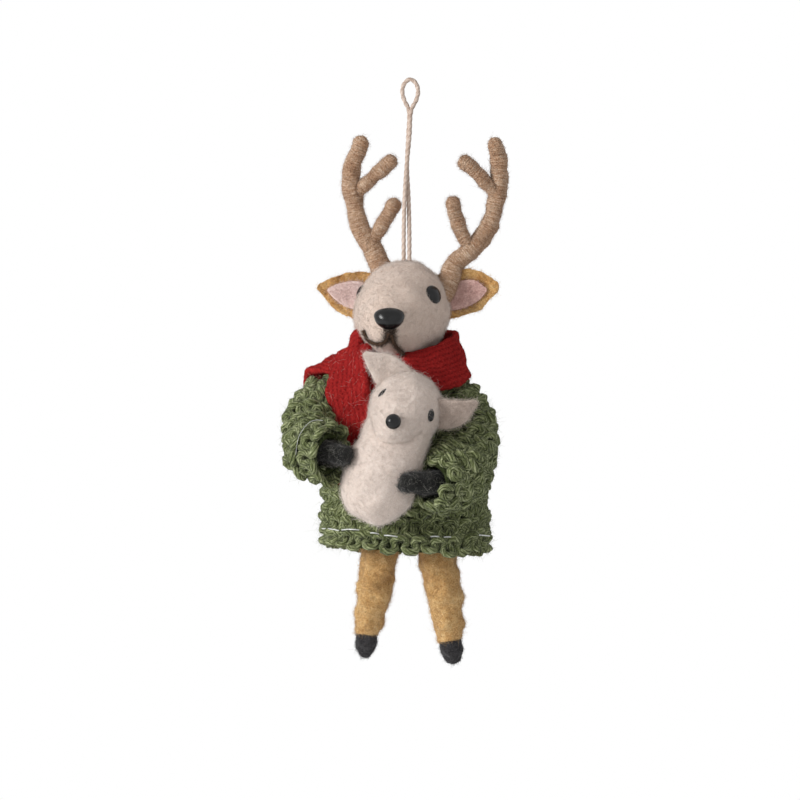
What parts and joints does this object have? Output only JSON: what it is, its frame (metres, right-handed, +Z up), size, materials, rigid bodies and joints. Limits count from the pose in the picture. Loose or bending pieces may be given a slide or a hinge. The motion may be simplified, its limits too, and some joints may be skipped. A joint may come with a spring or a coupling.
{
  "type": "hanging deer ornament",
  "caption": "Hanging felt deer in a chunky knitted jumper and scarf, holding a small felt fawn, on a twine loop.",
  "frame": {"origin": "the place inside the top of the twine loop that bears on a hook", "axes": "+Z up along the hanging twine, -Y towards the front of the deer, +X towards the deer's own left"},
  "size_m": [0.0704, 0.0666, 0.1827],
  "materials": {
    "felt_cream": "felted wool",
    "felt_pale": "felted wool",
    "felt_tan": "felted wool",
    "felt_pink": "felted wool",
    "felt_black": "felted wool",
    "knit_green": "chunky knit",
    "knit_red": "fine knit",
    "jute": "jute",
    "plastic_black": "gloss",
    "thread_brown": "embroidery thread",
    "wire": "soft wire"
  },
  "bodies": {
    "loop": {"hanging_loop": "jute"},
    "figure": {"torso": "felt_tan", "jumper_body": "knit_green", "head": "felt_cream", "neck_wire": "wire", "arm_wire": "wire", "nose": "plastic_black", "right_eye": "plastic_black", "left_eye": "plastic_black", "right_mouth_thread": "thread_brown", "left_mouth_thread": "thread_brown", "fawn_body": "felt_pale", "fawn_head": "felt_pale", "fawn_right_ear": "felt_pale", "fawn_left_ear": "felt_pale", "fawn_nose": "plastic_black", "fawn_right_eye": "plastic_black", "fawn_left_eye": "plastic_black", "scarf": "knit_red", "twine_knot": "jute", "right_arm": "felt_tan", "right_hand": "felt_black", "right_sleeve": "knit_green", "right_antler": "jute", "right_antler_wire": "wire", "right_ear": "felt_tan", "right_ear_lining": "felt_pink", "left_arm": "felt_tan", "left_hand": "felt_black", "left_sleeve": "knit_green", "left_antler": "jute", "left_antler_wire": "wire", "left_ear": "felt_tan", "left_ear_lining": "felt_pink"},
    "right_leg_part": {"right_leg": "felt_tan", "right_leg_wire": "wire", "right_hoof": "felt_black"},
    "left_leg_part": {"left_leg": "felt_tan", "left_leg_wire": "wire", "left_hoof": "felt_black"}
  },
  "joints": [
    {"name": "crown_swing", "type": "hinge", "parent": "loop", "child": "figure", "pos_m": [-0.00105, 0, -0.05595], "axis": [1, 0, 0], "range_deg": [-35, 35]},
    {"name": "right_hip", "type": "hinge", "parent": "figure", "child": "right_leg_part", "pos_m": [-0.00937, 0.00565, -0.14386], "axis": [1, 0, 0], "range_deg": [-40, 25]},
    {"name": "left_hip", "type": "hinge", "parent": "figure", "child": "left_leg_part", "pos_m": [0.00803, 0.00565, -0.14386], "axis": [1, 0, 0], "range_deg": [-40, 25]}
  ]
}
